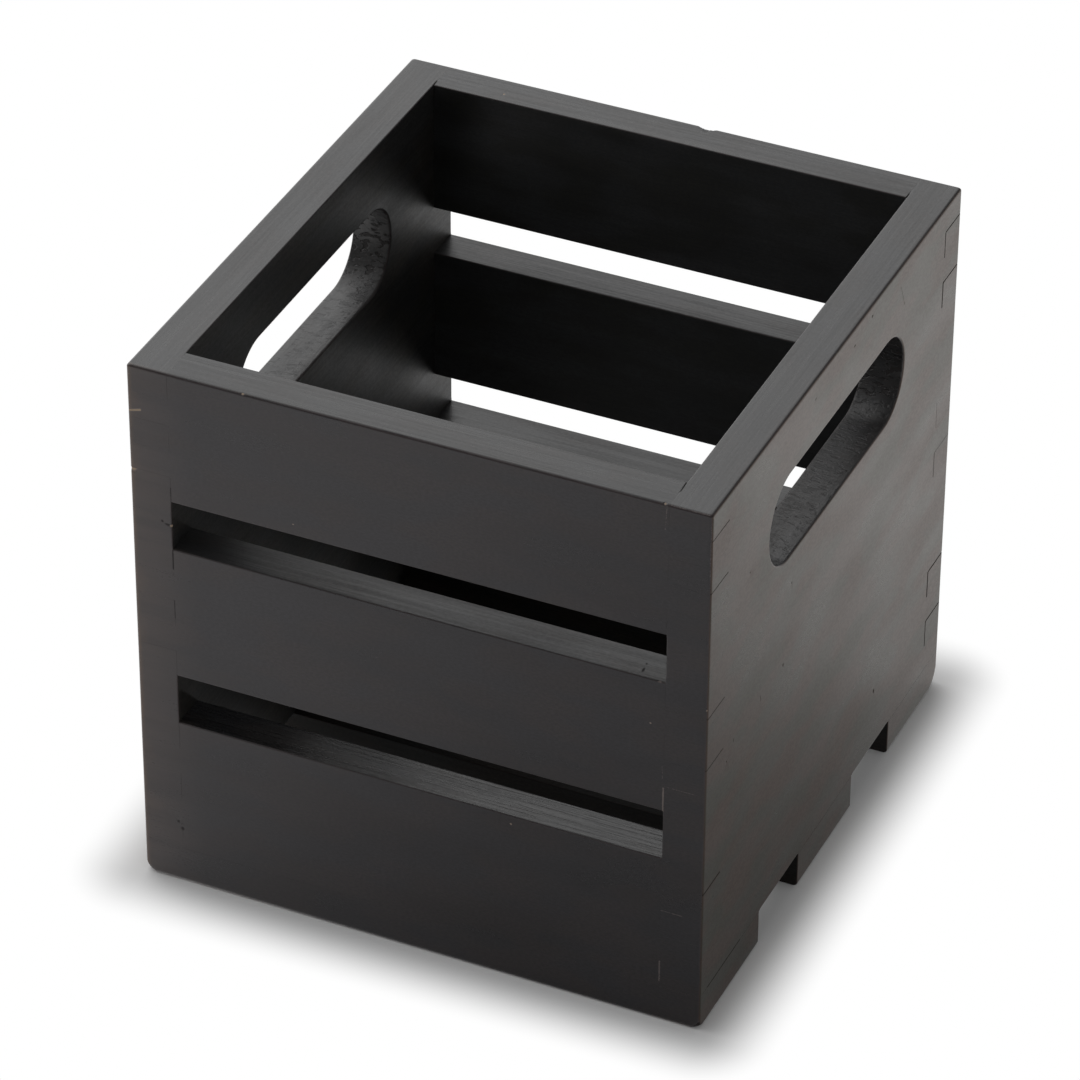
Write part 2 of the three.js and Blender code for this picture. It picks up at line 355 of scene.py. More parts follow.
class Plank:
    """A piece of wood as points in millimetres, faces, and what each point knows of its wear and of
    painted light and shade.
    """

    def __init__(self, across, faces_at, outline, rows, grid, holes=(), pockets=(),
                 pocket_depth=0.0, spots=(), extra=()):
        low, high = faces_at
        plane = {X: (Y, Z), Y: (X, Z), Z: (X, Y)}[across]
        high_flat, high_faces, high_borders = face_of(outline, list(holes), grid, spots)
        low_flat, low_faces, low_borders = high_flat, high_faces, high_borders
        if pockets:
            low_flat, low_faces, low_borders = face_of(outline, [*holes, *pockets], grid, spots)
        parts, self.faces = [], []

        def lay(flat, level):
            at = sum(len(p) for p in parts)
            co = np.zeros((len(flat), 3))
            co[:, plane[0]], co[:, plane[1]], co[:, across] = flat[:, 0], flat[:, 1], level
            parts.append(co)
            return at

        def ring(border, level):
            at = lay(low_flat[border], level)
            return list(range(at, at + len(border)))

        at_low = lay(low_flat, low)
        at_high = lay(high_flat, high)
        self.faces += [(at_low + a, at_low + c, at_low + b) for a, b, c in low_faces]
        self.faces += [(at_high + a, at_high + b, at_high + c) for a, b, c in high_faces]
        levels = levels_between(low, high, rows, extra)
        for border, high_border in zip(low_borders, high_borders):
            rings = [ring(border, level) for level in levels]
            self.wall([at_low + k for k in border], *rings, [at_high + k for k in high_border])
        for border in low_borders[len(high_borders):]:
            rings = [ring(border, low + pocket_depth * share) for share in POCKET_LEVELS]
            self.wall([at_low + k for k in border], *rings)
            self.faces.append(tuple(rings[-1]))
        self.co = np.concatenate(parts)
        for label in WEAR_LAYERS:
            setattr(self, label, np.zeros(len(self.co)))

    def wall(self, *rows):
        """Joins rings of vertices that lie over each other."""
        for row, above in zip(rows, rows[1:]):
            for k in range(len(row)):
                n = (k + 1) % len(row)
                self.faces.append((row[k], row[n], above[n], above[k]))

    def rub(self, near, share):
        """Wears the wood by a share where it isn't worn more."""
        self.worn[near] = np.maximum(self.worn[near], share)

    def ease(self, first, second, radius, where=None, seam=False):
        """Rounds the edge where two planes meet. A plane is (axis, level, side that faces out)."""
        (i, plane_i, out_i), (j, plane_j, out_j) = first, second
        a, b = out_i * (plane_i - self.co[:, i]), out_j * (plane_j - self.co[:, j])
        r = np.broadcast_to(np.asarray(radius, float), a.shape)
        near = (a < r) & (b < r) & (a > -0.2) & (b > -0.2)
        if where is not None:
            near &= where
        r = r[near]
        a, b, share, most = rounded_edge(a[near], b[near], r)
        self.co[near, i] = plane_i - out_i * a
        self.co[near, j] = plane_j - out_j * b
        if seam:
            # A joint line shows from a rounding of 0.04 mm on and is full at 0.14 mm
            depth = np.minimum(1.0, most / r) * np.clip(r / 0.1 - 0.4, 0, 1)
            self.seam[near] = np.maximum(self.seam[near], depth)
        else:
            self.rub(near, share * np.clip(most / r * 2 - 1, 0, 1))

    def ease_joint(self, shown, flush, inner, low, high, out, widths, where):
        """Rounds the edges of a finger, where out is 1, or of its pocket, where it is -1. Its line
        shows in the side face, opened by its widths above and beside the finger."""
        above, beside = widths
        bottom, top = (Z, low, -out), (Z, high, out)
        self.ease(shown, bottom, TIGHT, where, seam=True)
        self.ease(shown, top, TIGHT + above / 2, where, seam=True)
        for plane in (bottom, top):
            self.ease(flush, plane, TIGHT, where, seam=True)
        within = (self.co[:, Z] > low - NEAR) & (self.co[:, Z] < high + NEAR)
        self.ease(shown, inner, TIGHT + beside / 2, within, seam=True)

    def ease_outside(self, level, out, radius, corner):
        """Rounds the crate's outer edge at the rim or the ground, round its corners too."""
        x, y = self.co[:, X], self.co[:, Y]

        def from_outline():
            a, b = SIDE - np.abs(x), END - np.abs(y)
            bend = np.abs(a - b) < corner
            t = (a + b + np.sqrt(np.maximum(2 * corner**2 - (a - b) ** 2, 0))) / 2
            depth = np.where(bend, t - corner, np.minimum(a, b))
            towards_side = np.where(bend, (t - a) / corner, (a < b) * 1.0)
            towards_end = np.where(bend, (t - b) / corner, (a >= b) * 1.0)
            return depth, towards_side, towards_end

        depth, towards_side, towards_end = from_outline()
        fall = out * (level - self.co[:, Z])
        near = (depth < radius) & (fall < radius)
        want, rise, share, most = rounded_edge(np.maximum(depth, 0), fall, radius)
        self.rub(near, (share * np.clip(most / radius * 2 - 1, 0, 1))[near])
        for _ in range(2):
            move = np.where(near, (want - depth) * (towards_side + towards_end), 0)
            x -= np.sign(x) * towards_side * move
            y -= np.sign(y) * towards_end * move
            depth, towards_side, towards_end = from_outline()
        self.co[near, Z] = level - out * rise[near]

    def knock(self, front, back):
        """Rounds the corners on the ground, which take the knocks, in front and behind."""
        x, y, z = self.co.T
        radius = np.where(y < 0, front, back)[:, None]
        arm = radius - np.column_stack([SIDE - np.abs(x), END - np.abs(y), z])
        reach = np.sqrt((arm**2).sum(1)) / radius[:, 0]
        near = (arm > 0).all(1) & (reach > KNOCK_SPHERE)
        reach = reach[near]
        pulled = radius[near] - arm[near] * (KNOCK_SPHERE / reach)[:, None]
        x[near] = np.sign(x[near]) * (SIDE - pulled[:, X])
        y[near] = np.sign(y[near]) * (END - pulled[:, Y])
        z[near] = pulled[:, Z]
        self.rub(near, np.clip((reach - KNOCK_SPHERE) * 6, 0, 0.7))

    def ease_hole(self, plane, first, second, radius, face, rounding):
        """Rounds the mouth of a round-ended hole at a face."""
        i, j = plane
        k, level, out = face
        start, run = np.array(first, float), np.array(second, float) - np.array(first, float)
        flat = self.co[:, [i, j]]
        share = np.clip((flat - start) @ run / (run @ run), 0, 1)
        arm = flat - start - share[:, None] * run
        reach = np.hypot(*arm.T)
        a, b = reach - radius, out * (level - self.co[:, k])
        near = (a < rounding) & (a > -0.05) & (b < rounding) & (b > -0.05)
        self.sawn[(np.abs(a) < NEAR) & (b > rounding * 0.6)] = 1.0
        want, rise, share, _ = rounded_edge(a[near], b[near], rounding)
        shift = want - a[near]
        self.co[near, i] += arm[near, 0] / reach[near] * shift
        self.co[near, j] += arm[near, 1] / reach[near] * shift
        self.co[near, k] = level - out * rise
        self.rub(near, share)

    def chip(self, centre, reach, depth, way, pale):
        """Pushes the wood in at a spot and leaves it bare there, or dark where pale is below 0."""
        offset = (self.co - np.array(centre, float)) / np.array(reach, float)
        fall = np.clip(1 - np.sqrt((offset**2).sum(1)), 0, 1)
        near = fall > 0
        self.co[near] -= np.array(way, float) * (depth * np.sqrt(fall[near]))[:, None]
        near &= np.abs(pale * fall) > np.abs(self.mark)
        self.mark[near] = np.clip(pale * 1.6 * fall, -1, 1)[near]

    def line(self, start, end, reach, tone):
        """Paints a thin line, pale above 0 and dark below, that fades at its sides and ends."""
        start, end = np.array(start, float), np.array(end, float)
        run = end - start
        share = (self.co - start) @ run / (run @ run)
        apart = np.linalg.norm(self.co - start - np.clip(share, 0, 1)[:, None] * run, axis=1)
        fall = np.clip(1.3 - apart / reach, 0, 1)
        stronger = np.abs(tone * fall) > np.abs(self.mark)
        self.mark[stronger] = (tone * fall)[stronger]

    def sand(self, depth):
        """Leaves the outside slightly wavy, as hand sanding does. Flush pieces stay flush, because
        the waves run on over the crate, each of its four faces with its own."""
        for k, plane in ((X, SIDE), (Y, END)):
            for sign in (-1, 1):
                for n in np.nonzero(sign * self.co[:, k] > plane - SANDED_DEPTH)[0]:
                    p = Vector(c / wave for c, wave in zip(self.co[n], SANDING_WAVES[k]))
                    height = noise.noise(p + Vector((7.3 * sign, 3.1, k)))
                    self.co[n, k] -= sign * depth * (0.5 + 0.5 * height)

    def weather(self, marks, lines, sanding):
        """Chips, scratches and sands the piece."""
        for mark in marks:
            self.chip(*mark)
        for line in lines:
            self.line(*line)
        self.sand(sanding)

    def stains(self, mesh, finish, inside_finish, shift, dull):
        """The number of each face's finish, the shift of its grain, and how dull it is. The crate
        was stained when it was together, so ends that show in another board's face have that
        face's finish."""
        faces = []
        for face in mesh.polygons:
            x, y, _ = face.center / MM
            across, along, _ = (abs(c) > FACING for c in face.normal)
            inside_panel = across and abs(PANEL_INSIDE - abs(x)) < FLUSH
            inside_slat = along and abs(SLAT_INSIDE - abs(y)) < FLUSH
            if across and abs(x) > SIDE - FLUSH:
                faces.append((SIDE_FINISH, RIGHT_STAIN if x > 0 else LEFT_STAIN, 0.0))
            elif along and abs(y) > END - FLUSH:
                faces.append((FRONT_FINISH, BACK_STAIN if y > 0 else FRONT_STAIN, 0.0))
            elif inside_panel or inside_slat:
                faces.append((inside_finish, shift, 0.0))
            else:
                faces.append((finish, shift, dull))
        return [np.array(column) for column in zip(*faces)]

    def object(self, name, woods, finish, inside_finish, shift, dull=0.0):
        """The finished piece, which rides on the crate and stands for the solid it covers."""
        mesh = bpy.data.meshes.new(name)
        faces = [tuple(int(v) for v in face) for face in self.faces]
        mesh.from_pydata((self.co * MM).tolist(), [], faces)
        made = bmesh.new()
        made.from_mesh(mesh)
        bmesh.ops.recalc_face_normals(made, faces=made.faces)
        made.to_mesh(mesh)
        made.free()
        mesh.shade_smooth()
        numbers, shifts, dulls = self.stains(mesh, finish, inside_finish, shift, dull)
        layers = [(label, "POINT", getattr(self, label)) for label in WEAR_LAYERS]
        for label, domain, values in (*layers, ("plank", "FACE", shifts), ("dull", "FACE", dulls)):
            layer = mesh.attributes.new(label, "FLOAT", domain)
            layer.data.foreach_set("value", values.astype(np.float32))
        for wood in woods:
            mesh.materials.append(wood)
        mesh.polygons.foreach_set("material_index", numbers.astype(np.int32))
        piece = bpy.data.objects.new(name, mesh)
        bpy.context.scene.collection.objects.link(piece)
        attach(piece, "root")
        return piece


# Finishes

class Recipe:
    """A finish under construction: its material or world and short ways to add nodes to it."""

    def __init__(self, owner):
        self.owner = owner
        self.owner.use_nodes = True
        self.tree = self.owner.node_tree
        self.tree.nodes.clear()

    def add(self, kind, inputs=None, **settings):
        """A new node. Its inputs are linked to outputs or set, and a colour may leave out alpha."""
        made = self.tree.nodes.new(kind)
        for key, value in settings.items():
            setattr(made, key, value)
        for key, value in (inputs or {}).items():
            if isinstance(value, bpy.types.NodeSocket):
                self.tree.links.new(value, made.inputs[key])
            elif made.inputs[key].type == "RGBA" and len(value) == 3:
                made.inputs[key].default_value = (*value, 1.0)
            else:
                made.inputs[key].default_value = value
        return made

    def math(self, operation, *values, clamp=False):
        inputs = dict(enumerate(values))
        return self.add("ShaderNodeMath", inputs, operation=operation, use_clamp=clamp).outputs[0]

    def times(self, first, second):
        return self.math("MULTIPLY", first, second)

    def total(self, start, *layers):
        """Adds layers to a start, each a value and how much of it counts."""
        for value, share in layers:
            start = self.math("ADD", start, self.times(value, share))
        return start

    def span(self, value, low, high, to_low=0.0, to_high=1.0, smooth=True):
        inputs = {
            "Value": value, "From Min": low, "From Max": high, "To Min": to_low, "To Max": to_high,
        }
        kind = "SMOOTHSTEP" if smooth else "LINEAR"
        return self.add("ShaderNodeMapRange", inputs, interpolation_type=kind).outputs["Result"]

    def mix(self, share, first, second, way="MIX"):
        inputs = {0: share, 6: first, 7: second}
        return self.add("ShaderNodeMix", inputs, data_type="RGBA", blend_type=way).outputs[2]

    def vector(self, operation, *values):
        return self.add("ShaderNodeVectorMath", dict(enumerate(values)), operation=operation)

    def stretched(self, vector, scales):
        return self.vector("MULTIPLY", vector, scales).outputs[0]

    def noise(self, vector, scale=1.0, detail=2.0, roughness=0.5, distortion=0.0):
        inputs = {
            "Vector": vector, "Scale": scale, "Detail": detail, "Roughness": roughness,
            "Distortion": distortion,
        }
        return self.add("ShaderNodeTexNoise", inputs).outputs["Fac"]

    def painted(self, label):
        return self.add("ShaderNodeAttribute", attribute_name=label).outputs["Fac"]

    def place(self):
        return self.add("ShaderNodeTexCoord").outputs["Object"]

    def bump(self, height, distance):
        inputs = {"Strength": 1.0, "Distance": distance, "Height": height}
        return self.add("ShaderNodeBump", inputs).outputs[0]

    def finish(self, shader):
        out = self.add("ShaderNodeOutputMaterial", {"Surface": shader})
        out.is_active_output = True
        return self.owner


# Noise in the wood: cycles to the metre along the grain and across it, detail and roughness
WOOD_NOISE = {
    "fibre": (90, 2400, 1.0, 0.6),
    "strokes": (24, 900, 2.0, 0.6),
    "streak": (9, 210, 2.0, 0.5),
    "cloud": (20, 62, 2.0, 0.5),
    "hue": (46, 120, 2.0, 0.5),
    "specks": (900, 1900, 2.0, 0.6),
    "pore": (420, 3200, 0.0, 0.5),
}

# The router's chatter and the torn end grain in the hand holes, in cycles to the metre
CHATTER_SCALES = (240, 760, 760)
TEARING_SCALES = (420, 900, 900)

# How far the grain moves for a step of a face's stain, in metres
GRAIN_SHIFT = (0.31, 0.17, 0.23)

# How each finish differs: the axis of its grain, its warm and cool stain, the varnish over them
# and its gloss, and how deep its sanding strokes, its waves and its streaks are
FINISHES = {
    "stained_side": dict(
        grain=Y, warm="side_warm", cool="side_cool", gloss="side_gloss",
        brushed=0.4, wavy=0.2, streaky=0.06,
    ),
    "stained_front": dict(
        grain=X, warm="front_warm", cool="front_cool", gloss="front_gloss",
        brushed=0.6, wavy=0.4, streaky=0.06,
    ),
    "stained_panel_edge": dict(
        grain=Y, warm="rim_warm", cool="rim_cool", brushed=2.4, wavy=0.5, streaky=0.35,
    ),
    "stained_panel_inside": dict(
        grain=Y, warm="inside_warm", cool="inside_cool", sheen=0.46, varnish=0.36,
    ),
    "stained_slat_edge": dict(
        grain=X, warm="rim_warm", cool="rim_cool", varnish=0.46,
        brushed=5.0, wavy=0.5, streaky=0.5,
    ),
    "stained_slat_inside": dict(
        grain=X, warm="rim_cool", cool="board_cool", sheen=0.44, varnish=0.42,
    ),
    "stained_board": dict(
        grain=X, warm="board_warm", cool="board_cool", sheen=0.62, varnish=0.15,
    ),
}
(
    SIDE_FINISH, FRONT_FINISH, PANEL_EDGE, PANEL_BACK, SLAT_EDGE, SLAT_BACK, BOARD_FINISH,
) = range(len(FINISHES))


def stained_wood(name, colours, grain, warm, cool, gloss="", sheen=0.32, varnish=0.5,
                 brushed=1.0, wavy=1.0, streaky=0.28):
    """Black stain and thin satin varnish over sanded wood with its grain along one axis. The
    stain has faint warm and cool patches and fine streaks, the varnish shows sanding strokes a
    few micrometres deep, the edges are rubbed brown, and bare wood shows in the chips. Painted
    light lightens the front's left end and lays a warm glow along its left edge and bottom,
    painted shade darkens the hand holes' walls towards the outer face, and some pale lines along
    the edges are painted highlights."""
    r = Recipe(bpy.data.materials.new(name))
    shift = r.add(
        "ShaderNodeVectorMath", {0: GRAIN_SHIFT, "Scale": r.painted("plank")}, operation="SCALE",
    )
    at = r.vector("ADD", r.place(), shift.outputs[0]).outputs[0]
    fibre, strokes, streak, cloud, hue, specks, pore = (
        r.noise(
            r.stretched(at, tuple(run if axis == grain else across for axis in (X, Y, Z))),
            detail=detail, roughness=roughness,
        )
        for run, across, detail, roughness in WOOD_NOISE.values()
    )
    chatter = r.noise(r.stretched(at, CHATTER_SCALES), detail=4.0, roughness=0.65, distortion=1.0)
    tearing = r.noise(r.stretched(at, TEARING_SCALES), detail=3.0)
    scuffing = r.noise(at, scale=130, detail=3.0)
    grit = r.math("SUBTRACT", r.noise(at, scale=2200, detail=2.0), 0.5)

    # The stain: streaks of more and less of it, over a warm and a cool black
    tone = r.math("ADD", r.times(streak, 0.5), r.times(fibre, 0.5))
    shade = r.span(tone, 0.35, 0.65, 1.0 - streaky, 1.0 + streaky, smooth=False)
    for layer, low, high, darkest, palest in (
        (cloud, 0.35, 0.65, 0.86, 1.14),
        (specks, 0.35, 0.65, 0.78, 1.22),
        (pore, 0.76, 0.82, 1.0, 0.88),
    ):
        shade = r.times(shade, r.span(layer, low, high, darkest, palest))
    colour = r.mix(r.span(hue, 0.4, 0.6), getattr(colours, cool), getattr(colours, warm))
    colour = r.mix(1.0, colour, shade, "MULTIPLY")

    # Wear, painted light and painted shade: how much of each kind shows where the mesh says that it
    # is
    sawn, mark, dull = r.painted("sawn"), r.painted("mark"), r.painted("dull")
    # Painted light: the front is lighter and warmer towards its left end
    thin = r.times(r.painted("thin"), r.span(streak, 0.3, 0.6, 0.6, 1.0))
    # Painted warm edge light along the front's left edge and along its bottom at the left
    faded = r.times(r.painted("faded"), r.span(hue, 0.3, 0.6, 0.5, 1.0))
    # The routed colour fades out towards the hand hole's outer face, which paints shade there
    cut = r.times(sawn, r.span(chatter, 0.35, 0.7))
    pits = r.times(r.painted("torn"), r.span(tearing, 0.52, 0.62))
    rub = r.times(r.span(r.painted("worn"), 0.1, 0.7), r.span(scuffing, 0.3, 0.55))
    seam = r.span(r.painted("seam"), 0.15, 0.7)
    # Pale marks: chips and scuffs, and painted highlights along some edges
    ragged = r.total(mark, (grit, 0.9))
    bare = r.times(r.span(ragged, 0.2, 0.42), r.span(mark, 0.1, 0.85, 0.12, 1.0, smooth=False))
    bare = r.times(bare, r.span(mark, 0.02, 0.1))
    dark = r.span(r.math("SUBTRACT", r.times(grit, 0.4), mark), 0.15, 0.6)
    dark = r.times(dark, r.span(mark, -0.1, -0.02, 1.0, 0.0))
    bared_and_highlit = r.mix(r.span(mark, 0.45, 0.8), colours.scuffed_and_highlit, colours.bare_wood)
    for share, coat in (
        (thin, colours.painted_left_light),
        (faded, colours.painted_edge_glow),
        (cut, colours.routed),
        (pits, colours.joint_line),
        (r.times(rub, 0.85), colours.rubbed_edge),
        (seam, colours.joint_line),
        (bare, bared_and_highlit),
        (dark, colours.joint_line),
    ):
        colour = r.mix(share, colour, coat)

    # The varnish's roughness, and the height of the surface in micrometres
    polish = r.span(cloud, 0.3, 0.7, sheen - 0.03, sheen + 0.04)
    for layer, low, high, more in (
        (strokes, 0.3, 0.7, 0.1 * streaky), (hue, 0.35, 0.65, 0.012), (specks, 0.35, 0.65, -0.02),
    ):
        polish = r.math("ADD", polish, r.span(layer, low, high, -more, more))
    polish = r.total(
        polish, (dull, 0.16), (sawn, 0.14), (pits, 0.3), (r.math("ADD", seam, dark), 0.4),
        (bare, 0.3),
    )
    relief = r.total(
        r.times(fibre, 5.0 * brushed), (strokes, 16.0 * brushed), (specks, 1.5),
        (streak, 34.0 * wavy), (cloud, 70.0 * wavy), (r.times(sawn, chatter), 190.0),
    )
    relief = r.math("SUBTRACT", relief, r.times(pits, 180.0))
    shader = r.add("ShaderNodeBsdfPrincipled", {
        "Base Color": colour,
        "Roughness": r.math("MINIMUM", polish, 1.0),
        "IOR": 1.5,
        "Specular IOR Level": varnish,
        "Specular Tint": getattr(colours, gloss) if gloss else (1.0, 1.0, 1.0),
        "Normal": r.bump(relief, MICROMETRE),
    })
    return r.finish(shader.outputs[0])


def stained_woods(colours):
    """The finishes of what shows of the panels, slats and boards, each made once."""
    return [
        bpy.data.materials.get(name) or stained_wood(name, colours, **look)
        for name, look in FINISHES.items()
    ]


def brad_steel(colours):
    """Plain steel, dulled and slightly rusty, with the fine scratches of the hammer."""
    r = Recipe(bpy.data.materials.new("dull_brad_steel"))
    place = r.place()
    cloud = r.noise(place, scale=900, detail=3.0)
    scratch = r.noise(r.stretched(place, (9000, 700, 3000)), detail=1.0)
    rust = r.span(cloud, 0.52, 0.7)
    polish = r.span(cloud, 0.3, 0.7, 0.35, 0.6)
    polish = r.math("ADD", polish, r.span(scratch, 0.3, 0.7, -0.05, 0.08))
    shader = r.add("ShaderNodeBsdfPrincipled", {
        "Base Color": r.mix(r.times(rust, 0.7), colours.brad_steel, colours.brad_rust),
        "Metallic": r.math("SUBTRACT", 1.0, r.times(rust, 0.8)),
        "Roughness": polish,
        "Normal": r.bump(scratch, 10 * MICROMETRE),
    })
    return r.finish(shader.outputs[0])


# Floor and light

# The floor's half width, in metres
FLOOR_REACH = 3.0

# Angles from the middle of the large soft lamp in which it is bright and out to which it glows
LAMP_BRIGHT, LAMP_GLOW = 10, 60

# How high over the horizon what is mirrored stays white, as a share of straight up
HORIZON = 0.08


def mirrored(r, path):
    """Where a ray comes from a mirror or through glass, as from the varnish or the steel."""
    return r.math("ADD", path["Is Glossy Ray"], path["Is Transmission Ray"], clamp=True)


def pale_floor(stage):
    """A pale floor that keeps the crate's soft shadow and turns white outside it. The shadow falls
    to the front and the right, so what the varnish mirrors turns white further out there."""
    r = Recipe(bpy.data.materials.new("pale_floor"))
    place = r.place()
    path = r.add("ShaderNodeLightPath").outputs
    folded = r.vector("ABSOLUTE", place).outputs[0]
    outside = r.vector("SUBTRACT", folded, (SIDE * MM, END * MM, 0)).outputs[0]
    outside = r.vector("MAXIMUM", outside, (0, 0, 0)).outputs[0]
    apart = r.vector("LENGTH", outside).outputs["Value"]
    seen = r.times(r.span(apart, 0.0, stage.shadow_reach), path["Is Camera Ray"])
    away = r.vector("DISTANCE", place, stage.dusk_middle).outputs["Value"]
    bright = r.span(away, stage.dusk_from, stage.dusk_to, smooth=False)
    bright = r.math("ADD", r.math("POWER", bright, 2.0), stage.dusk, clamp=True)
    share = r.math("ADD", seen, r.times(bright, mirrored(r, path)), clamp=True)
    paint = r.add("ShaderNodeBsdfDiffuse", {"Color": stage.floor, "Roughness": 0.6}).outputs[0]
    white = r.add("ShaderNodeEmission", {"Color": (1, 1, 1), "Strength": 1.0}).outputs[0]
    return r.finish(r.add("ShaderNodeMixShader", {0: share, 1: paint, 2: white}).outputs[0])


def soft_surround(stage):
    """Light from all round with a large soft lamp in it. The camera sees white, and so do the
    varnish and the steel at the height of the horizon."""
    r = Recipe(bpy.data.worlds.new("surround"))
    way = r.add("ShaderNodeTexCoord").outputs["Generated"]
    path = r.add("ShaderNodeLightPath").outputs
    lamp = Vector(stage.lamp_from).normalized()
    towards = r.vector("DOT_PRODUCT", way, lamp).outputs["Value"]
    edge, middle = math.cos(math.radians(LAMP_GLOW)), math.cos(math.radians(LAMP_BRIGHT))
    glow = r.span(towards, edge, middle, 0.0, stage.lamp)
    light = r.math("ADD", glow, stage.surround)
    rise = r.add("ShaderNodeSeparateXYZ", {0: way}).outputs["Z"]
    horizon = r.times(r.span(rise, 0.0, HORIZON, 1.0, 0.0), mirrored(r, path))
    white = r.math("ADD", horizon, path["Is Camera Ray"], clamp=True)
    strength = r.add("ShaderNodeMix", {0: white, 2: light, 3: 1.0}, data_type="FLOAT").outputs[0]
    back = r.add("ShaderNodeBackground", {"Color": (1, 1, 1), "Strength": strength})
    r.add("ShaderNodeOutputWorld", {"Surface": back.outputs[0]})
    return r.owner


# Settings

def length(name, value, description):
    return bpy.props.FloatProperty(
        name=name, default=value * MM, description=description, unit="LENGTH", min=0.0,
        precision=5,
    )


def colour(name, value, description):
    return bpy.props.FloatVectorProperty(
        name=name, default=value, description=description, subtype="COLOR", size=3,
        min=0.0, max=1.0,
    )


def amount(name, value, description):
    return bpy.props.FloatProperty(name=name, default=value, description=description, min=0.0)


def angle(name, value, description):
    return bpy.props.FloatProperty(
        name=name, default=math.radians(value), description=description, subtype="ANGLE",
    )


def position(name, value, description, subtype="TRANSLATION"):
    return bpy.props.FloatVectorProperty(
        name=name, default=value, description=description, subtype=subtype, size=3,
    )


class CrateSizes(bpy.types.PropertyGroup):
    """Sizes of the wood's details."""

    fingers: bpy.props.IntProperty(
        name="Fingers", default=5, min=3,
        description="Fingers in each box joint, the side panel's and the slat's",
    )
    hole_length: length("Hand hole length", 91, "Length of the hand hole over its round ends")
    hole_height: length("Hand hole height", 26, "Height of the hand hole")
    hole_drop: length("Hand hole drop", 32, "From the rim down to the middle of the hand hole")
    foot_radius: length("Ground edge", 1.2, "Radius of the outer edge that stands on the ground")
    front_knock: length(
        "Front ground corners", 4.8, "Radius of the corners on the ground at the front",
    )
    back_knock: length(
        "Back ground corners", 8, "Radius of the corners on the ground at the back",
    )
    corner_radius: length("Upright edge", 0.8, "Radius of the upright outer corners")
    rim_radius: length("Rim edge", 0.8, "Radius of the outer edge at the rim")
    inner_rim_radius: length("Inner rim edge", 0.35, "Radius of the inner edge at the rim")
    slot_radius: length("Slot edge", 0.4, "Radius of the edges beside the slots")
    hole_radius: length("Hand hole edge", 0.6, "Radius of the hand hole's mouth")
    notch_radius: length("Board edge", 0.35, "Radius of the bottom boards' edges in the notches")
    open_line: length("Open joint line", 1.0, "Width of a joint line that is open all the way")
    sanding: length("Sanding waves", 0.06, "Depth of the low waves left by sanding")


class CrateColours(bpy.types.PropertyGroup):
    """Colours of the wood, its wear and the brads."""

    side_warm: colour(
        "Sides, warm patches", (0.0370, 0.0215, 0.0165), "Stain on the sides where it is warm",
    )
    side_cool: colour(
        "Sides, cool patches", (0.0145, 0.0185, 0.0130), "Stain on the sides where it is cool",
    )
    side_gloss: colour("Sides, gloss", (1.0, 0.78, 0.6), "Tint of the varnish on the sides")
    front_warm: colour(
        "Front, warm patches", (0.0172, 0.0144, 0.0144), "Stain on the front where it is warm",
    )
    front_cool: colour(
        "Front, cool patches", (0.0136, 0.0134, 0.0150), "Stain on the front where it is cool",
    )
    front_gloss: colour(
        "Front, gloss", (1.0, 0.96, 0.98), "Tint of the varnish on the front and back",
    )
    # Painted light: the colour that lightens and warms the front's left end
    painted_left_light: colour(
        "Thin stain", (0.056, 0.044, 0.039), "Where the stain is thin at the front's left end",
    )
    rim_warm: colour(
        "Rim, warm patches", (0.0165, 0.0148, 0.0146), "Stain on the edges where it is warm",
    )
    rim_cool: colour(
        "Rim, cool patches", (0.0135, 0.0135, 0.0145),
        "Stain on the edges where it is cool, and inside the slats where it is warm",
    )
    inside_warm: colour(
        "Inside, warm patches", (0.0225, 0.0205, 0.0180), "Stain inside the panels where warm",
    )
    inside_cool: colour(
        "Inside, cool patches", (0.0180, 0.0180, 0.0180), "Stain inside the panels where cool",
    )
    # Painted shade: this lighter routed colour fades out towards the hand hole's outer face
    routed: colour(
        "Routed wood", (0.028, 0.0255, 0.0250), "Stain over the router's marks in the hand holes",
    )
    board_warm: colour(
        "Boards, warm patches", (0.0110, 0.0088, 0.0075), "Stain on the boards where it is warm",
    )
    board_cool: colour(
        "Boards, cool patches", (0.0085, 0.0082, 0.0075),
        "Stain on the boards and inside the slats where it is cool",
    )
    # Painted light: a warm glow along the front's left edge and its bottom at the left
    painted_edge_glow: colour(
        "Faded edge", (0.155, 0.095, 0.055), "Where the stain has faded at the front's left edge",
    )
    rubbed_edge: colour(
        "Rubbed edge", (0.023, 0.014, 0.014), "Brown where the stain is rubbed thin",
    )
    joint_line: colour("Joint line", (0.007, 0.0045, 0.004), "Dark brown in the joints")
    # Also the colour of painted highlights along some edges
    scuffed_and_highlit: colour("Scuffs", (0.20, 0.165, 0.155), "Where the stain is only scuffed")
    bare_wood: colour("Bare wood", (0.33, 0.25, 0.17), "Wood that shows in the chips")
    brad_steel: colour("Brad steel", (0.42, 0.42, 0.43), "Steel of the brads")
    brad_rust: colour("Brad rust", (0.12, 0.06, 0.035), "Rust on the brads")


